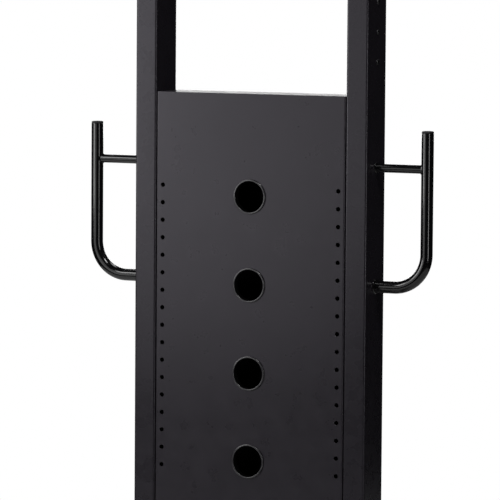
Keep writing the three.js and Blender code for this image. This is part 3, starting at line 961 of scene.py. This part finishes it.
def make_handles():
    for side, sign in SIDES:
        low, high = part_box(f"{side}_handle_tube")
        post_x = low.x if sign > 0 else high.x
        tube_x = (high.x - HANDLE_RADIUS) if sign > 0 else (low.x + HANDLE_RADIUS)
        run_z = low.z + HANDLE_RADIUS
        bend_centre = Vector((tube_x - sign * HANDLE_BEND, 0, run_z + HANDLE_BEND))
        angles = (-math.pi / 2, 0.0) if sign > 0 else (1.5 * math.pi, math.pi)
        stations = [
            (Vector((post_x, 0, run_z)), X_AXIS * sign),
            *arc(bend_centre, HANDLE_BEND, *angles, HANDLE_BEND_STEPS),
            (Vector((tube_x, 0, high.z)), Z_AXIS),
        ]
        tube = Shape().sweep(stations, HANDLE_RADIUS, HANDLE_WALL)
        add_piece(f"{side}_handle_tube.tube", tube, "gloss_black", [f"{side}_handle_tube"])
        make_round_cap(f"{side}_handle_cap", Vector((tube_x, 0, high.z)), Z_AXIS, HANDLE_RADIUS)
        make_stay(side, sign, tube_x)
        make_handle_welds(side, sign, post_x + sign * HANDLE_WELD_LIFT, tube_x, run_z)


def make_stay(side, sign, tube_x):
    """A solid rod whose far end is coped to the tube."""
    node = f"{side}_handle_stay"
    low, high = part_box(node)
    start = low.x if sign > 0 else high.x
    height = middle_of(node).z
    seat = HANDLE_RADIUS - 0.2 * MM
    outline = circle(STAY_RADIUS)
    near = [(start, y, height + z) for y, z in outline]
    far = [(against_tube(tube_x, sign, seat, y), y, height + z) for y, z in outline]
    add_piece(f"{node}.rod", Shape().loft([near, far]), "gloss_black", [node])


def make_handle_welds(side, sign, root_x, tube_x, run_z):
    """Beads round the tube and the stay at the post, and round the stay at the tube."""
    stay_z = middle_of(f"{side}_handle_stay").z
    beads = Shape()
    circle_bead(beads, (root_x, 0, run_z), HANDLE_RADIUS)
    circle_bead(beads, (root_x, 0, stay_z), STAY_RADIUS, THIN_WELD)
    guide_sides = 60
    seat = HANDLE_RADIUS + 0.4 * MM
    saddle = [
        Vector((against_tube(tube_x, sign, seat, y), y, stay_z + z))
        for y, z in circle(STAY_RADIUS + 0.6 * MM, guide_sides)
    ]
    beads.bead(even_path(saddle, ROUND_WELD_STEP), X_AXIS, THIN_WELD)
    add_piece(f"{side}_handle.welds", beads, "gloss_black")


def make_round_cap(node, origin, axis, radius):
    """A plug for a round tube: a flat face, a small rounded edge and a moulded ring."""
    shape = Shape().lathe(origin, axis, moulded(radius, ROUND_CAP))
    add_piece(f"{node}.plug", shape, "black_plastic", [node], sharp=MOULDED_SHARP)


# -------- base


def make_base():
    beads = Shape()
    for end in ENDS:
        rectangular_tube(f"{end}_base_beam", 0)
        for side, sign in SIDES:
            tube_cap(f"{end}_{side}_beam_cap", 0, sign)
            make_levelling_foot(f"{end}_{side}")
    rectangular_tube("centre_base_beam", 0)
    end_beads(beads, "centre_base_beam", 0)
    for side, _ in SIDES:
        rectangular_tube(f"{side}_base_rail", 1)
        end_beads(beads, f"{side}_base_rail", 1)
        make_shoe(side)
        make_wheel(side)
    add_piece("base.welds", beads, "frame_coat")


def make_levelling_foot(corner):
    """A rubber pad, a steel hexagon for the spanner and a threaded stem."""
    node = f"{corner}_levelling_foot"
    body = f"{corner}_foot"
    low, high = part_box(node)
    origin = middle_of(node)
    origin.z = low.z
    height = high.z - low.z
    pad = Shape().lathe(origin, Z_AXIS, moulded((high.x - low.x) / 2, FOOT_PAD), sides=FINE_SIDES)
    add_piece(f"{node}.pad", pad, "foot_rubber", [node], body, sharp=MOULDED_SHARP)

    steel = Shape()
    steel.stack(origin, Z_AXIS, [
        (circle(FOOT_NUT * 0.86), FOOT_NUT_TOP - 6.1 * MM),
        (hexagon(FOOT_NUT), FOOT_NUT_TOP - 5.4 * MM),
        (hexagon(FOOT_NUT), FOOT_NUT_TOP - 0.6 * MM),
        (circle(FOOT_NUT * 0.86), FOOT_NUT_TOP),
        (circle(FOOT_NUT * 0.62), FOOT_NUT_TOP),
    ])
    thread = [(THREAD_ROOT - 0.05 * MM, FOOT_NUT_TOP - 0.2 * MM)]
    turns = int((height - FOOT_NUT_TOP - 1 * MM) / THREAD_PITCH)
    for i in range(turns):
        base = FOOT_NUT_TOP + i * THREAD_PITCH
        thread += [(THREAD_ROOT, base + 0.1 * THREAD_PITCH), (THREAD_CREST, base + 0.5 * THREAD_PITCH)]
    thread.append((THREAD_END, height))
    steel.lathe(origin, Z_AXIS, thread, sides=SMALL_SIDES)
    add_piece(f"{node}.stem", steel, "zinc_steel", (), body)


def make_shoe(side):
    """A plate under the upright with a gusset before and behind it, bolted to the rail."""
    node = f"{side}_upright_shoe"
    low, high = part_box(node)
    centre = middle_of(node)
    size = high - low
    plate = flat_plate((centre.x, 0, low.z), Z_AXIS, size.x, size.y, TUBE_CORNER, SHOE_PLATE)
    add_piece(f"{node}.plate", plate, "frame_coat", [node])

    post_low, post_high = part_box(f"{side}_upright")
    post_size = post_high - post_low
    top = low.z + SHOE_PLATE
    left = X_AXIS * (centre.x - SHOE_PLATE / 2)
    right = X_AXIS * (centre.x + SHOE_PLATE / 2)
    gussets = Shape()
    bolts = Shape()
    beads = Shape()
    weld_gap = 3 * MM
    weld_centre = middle_of(f"{side}_upright")
    weld_centre.z = post_low.z + 0.5 * MM
    rectangle_bead(beads, weld_centre, Z_AXIS, post_size.x - weld_gap, post_size.y - weld_gap)
    for sign, face in ((-1, post_low.y), (1, post_high.y)):
        root = face + sign * GUSSET_GAP
        toe = face + sign * GUSSET_LENGTH
        gussets.prism([
            (0, root, top - GUSSET_SINK),
            (0, toe, top - GUSSET_SINK),
            (0, toe, top + GUSSET_TOE),
            (0, face + sign * GUSSET_CREST, high.z),
            (0, root, high.z),
        ], left, right)
        hex_bolt(bolts, (centre.x, face + sign * SHOE_BOLT_OFFSET, top), Z_AXIS)
        climb = [
            Vector((0, toe - sign * THICK_WELD, top)),
            Vector((0, face + sign * GUSSET_WELD_GAP, top)),
            Vector((0, root, high.z - THICK_WELD)),
        ]
        path = [left + point for point in climb] + [right + point for point in reversed(climb)]
        beads.bead(even_path(path, WELD_STEP), X_AXIS, THICK_WELD)
    add_piece(f"{node}.gussets", gussets, "frame_coat", bevel=0.8 * MM)
    add_piece(f"{node}.bolts", bolts, "black_steel")
    add_piece(f"{node}.welds", beads, "frame_coat")


def make_wheel(side):
    """A grooved tyre on a ribbed hub, its axle bolt, and the bracket welded to the rear beam."""
    node = f"{side}_wheel"
    low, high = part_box(node)
    centre = middle_of(node)
    radius = (high.z - low.z) / 2
    half = (high.x - low.x) / 2
    shoulder = moulded(radius, TYRE_SHOULDER)
    tread = [(reach, distance - half) for reach, distance in shoulder]
    for groove in (-GROOVE_OFFSET, GROOVE_OFFSET):
        tread += [(reach, groove + distance) for reach, distance in moulded(radius, TYRE_GROOVE)]
    tread += [(reach, half - distance) for reach, distance in reversed(shoulder)]
    tyre = Shape().lathe(centre, X_AXIS, tread, loop=True, sides=TYRE_SIDES)
    add_piece(f"{node}.tyre", tyre, "wheel_rubber", [node], node)

    rim = radius - TYRE_DEPTH
    rim_inside = rim - HUB_RIM
    right = [
        (rim, half - 1 * MM),
        (rim_inside, half - 1 * MM),
        (rim_inside - 0.5 * MM, HUB_WEB),
        (HUB_BOSS + 1 * MM, HUB_WEB),
        (HUB_BOSS, half - 0.5 * MM),
        (HUB_BOSS - 0.5 * MM, half),
        (HUB_BORE, half),
    ]
    left = [(reach, -distance) for reach, distance in reversed(right)]
    hub = Shape().lathe(centre, X_AXIS, right + left, loop=True, sides=FINE_SIDES)
    at_boss = X_AXIS * (half - 3 * MM)
    at_rim = X_AXIS * (half - 4 * MM)
    for i in range(HUB_RIBS):
        angle = 2 * math.pi * i / HUB_RIBS
        outward = Vector((0, math.cos(angle), math.sin(angle)))
        across = X_AXIS.cross(outward) * RIB_HALF
        boss_end = outward * HUB_BOSS
        rim_end = outward * rim_inside
        outline = [boss_end + at_boss, rim_end + at_rim, rim_end - at_rim, boss_end - at_boss]
        hub.prism(outline, centre - across, centre + across)
    add_piece(f"{node}.hub", hub, "black_plastic", (), node)
    make_axle(side, centre)
    make_bracket(side, centre)


def make_axle(side, centre):
    """A bolt through the bracket and hub, with a washer and nut at its far end."""
    node = f"{side}_wheel_axle"
    low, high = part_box(node)
    head_side = (low.x, centre.y, centre.z)
    nut_side = (high.x, centre.y, centre.z)
    shape = Shape().lathe(centre, X_AXIS, [
        (AXLE_RADIUS, low.x + 5 * MM - centre.x),
        (AXLE_RADIUS, high.x - 7 * MM - centre.x),
    ])
    shape.stack(head_side, X_AXIS, [
        (circle(AXLE_HEX * 0.8), 0),
        (hexagon(AXLE_HEX), 0.7 * MM),
        (hexagon(AXLE_HEX), 5.2 * MM),
        (circle(AXLE_HEX * 0.86), 5.7 * MM),
    ])
    shape.stack(nut_side, -X_AXIS, [
        (circle(AXLE_RADIUS - 0.4 * MM), 0),
        (circle(AXLE_RADIUS), 0.4 * MM),
        (circle(AXLE_RADIUS), 1.6 * MM),
        (circle(AXLE_HEX * 0.8), 1.6 * MM),
        (hexagon(AXLE_HEX), 2.6 * MM),
        (hexagon(AXLE_HEX), 7.2 * MM),
        (circle(AXLE_HEX * 0.86), 7.7 * MM),
    ])
    add_piece(f"{node}.bolt", shape, "zinc_steel", [node])


def make_bracket(side, wheel_centre):
    """A channel: a back plate on the beam and two ears with cut corners that hold the axle."""
    node = f"{side}_wheel_bracket"
    low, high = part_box(node)
    size = high - low
    inside = low.y + BRACKET_PLATE
    root = inside - 0.2 * MM
    shape = Shape()
    back = [(0, low.y, low.z), (0, inside, low.z), (0, inside, high.z), (0, low.y, high.z)]
    shape.prism(back, (low.x, 0, 0), (high.x, 0, 0))
    ear = [
        (0, root, low.z),
        (0, high.y - BRACKET_CUT, low.z),
        (0, high.y, low.z + BRACKET_CUT),
        (0, high.y, high.z - BRACKET_CUT),
        (0, high.y - BRACKET_CUT, high.z),
        (0, root, high.z),
    ]
    for start in (low.x, high.x - BRACKET_PLATE):
        shape.prism(ear, (start, 0, 0), (start + BRACKET_PLATE, 0, 0))
    add_piece(f"{node}.channel", shape, "black_steel", [node], bevel=0.7 * MM)
    beads = Shape()
    weld_centre = (middle_of(node).x, low.y + 0.8 * MM, wheel_centre.z)
    rectangle_bead(beads, weld_centre, Y_AXIS, size.x, size.z, corner=3 * MM)
    add_piece(f"{node}.welds", beads, "black_steel")


# -------- top


def make_top():
    rectangular_tube("top_cross_beam", 0)
    beads = Shape()
    end_beads(beads, "top_cross_beam", 0)

    bar_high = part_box("pull_up_bar")[1]
    centre = Vector((0, middle_of("pull_up_bar").y, bar_high.z - BAR_RADIUS))
    bend_middle = centre - Z_AXIS * BAR_BEND
    reach = X_AXIS * BAR_STRAIGHT
    up = math.pi / 2
    left_bend = arc(bend_middle - reach, BAR_BEND, up + BAR_DROP, up, BAR_BEND_STEPS)
    right_bend = arc(bend_middle + reach, BAR_BEND, up, up - BAR_DROP, BAR_BEND_STEPS)
    left_root, left_direction = left_bend[0]
    right_root, right_direction = right_bend[-1]
    stations = [
        (left_root - left_direction * BAR_END, left_direction),
        *left_bend,
        *right_bend,
        (right_root + right_direction * BAR_END, right_direction),
    ]
    bar = Shape().sweep(stations, BAR_RADIUS, BAR_WALL)
    add_piece("pull_up_bar.tube", bar, "gloss_black", ["pull_up_bar"])

    ends = (("left", left_root, -left_direction), ("right", right_root, right_direction))
    for side, root, outward in ends:
        make_grip(side, root + outward * GRIP_OFFSET, outward)
        make_round_cap(f"{side}_bar_cap", root + outward * BAR_END, outward, BAR_RADIUS)
        make_arm(side, centre, beads)
    add_piece("top.welds", beads, "frame_coat")


def make_grip(side, middle, outward):
    """A ribbed rubber sleeve with a thicker collar at each end."""
    inside = BAR_RADIUS + 0.1 * MM
    half = GRIP_LENGTH / 2
    collar = [
        (inside, half),
        (GRIP_RADIUS - GRIP_EDGE, half),
        (GRIP_RADIUS, half - GRIP_EDGE),
        (GRIP_RADIUS, half - GRIP_COLLAR),
    ]
    profile = [(reach, -distance) for reach, distance in collar]
    ribs = int((GRIP_LENGTH - 2 * GRIP_COLLAR) / GRIP_RIB_PITCH)
    for i in range(ribs):
        base = -half + GRIP_COLLAR + i * GRIP_RIB_PITCH
        profile += [(GRIP_RADIUS - inset * MM, base + share * GRIP_RIB_PITCH) for inset, share in GRIP_RIB]
    profile += reversed(collar)
    shape = Shape().lathe(middle, outward, profile, loop=True)
    add_piece(f"{side}_bar_grip.sleeve", shape, "grip_rubber", [f"{side}_bar_grip"], sharp=40)


def make_arm(side, bar_centre, beads):
    """A rectangular arm with a bolted flange at its root and the bar welded through its nose."""
    node = f"{side}_bar_arm"
    low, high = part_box(node)
    centre = middle_of(node)
    root = high.y - ARM_FLANGE
    length = root - low.y
    outline = tube_outline(ARM_SECTION, 0)
    layers = [(outline, 0), (outline, length - EDGE), (tube_outline(ARM_SECTION, EDGE), length)]
    tube = Shape().stack((centre.x, root + 0.1 * MM, centre.z), -Y_AXIS, layers)
    add_piece(f"{node}.tube", tube, "frame_coat", [node])
    size = high - low
    flange = flat_plate((centre.x, root, centre.z), Y_AXIS, size.x, size.z, TUBE_CORNER, ARM_FLANGE)
    add_piece(f"{node}.flange", flange, "frame_coat")
    bolts = Shape()
    rectangle_bead(beads, (centre.x, root - 0.6 * MM, centre.z), Y_AXIS, *ARM_SECTION)
    for sign in (-1, 1):
        hex_bolt(bolts, (centre.x, root, centre.z + sign * ARM_BOLT_OFFSET), -Y_AXIS)
        circle_bead(beads, bar_centre + X_AXIS * (centre.x + sign * ARM_SECTION[0] / 2), BAR_RADIUS)
    add_piece(f"{node}.bolts", bolts, "black_steel")


# -------- floor


def make_floor():
    shape = Shape().lathe((0, 0, 0), Z_AXIS, [
        (FLOOR_RADIUS, -FLOOR_DEPTH),
        (FLOOR_RADIUS, -FLOOR_EDGE),
        (FLOOR_RADIUS - FLOOR_EDGE, -FLOOR_GAP),
    ], sides=FLOOR_SIDES)
    floor = mesh_object("floor", shape, pale_floor("pale_floor"))
    floor.visible_diffuse = False


make_camera()
make_lights()
make_world()
make_floor()
make_uprights()
make_panel()
make_handles()
make_base()
make_top()
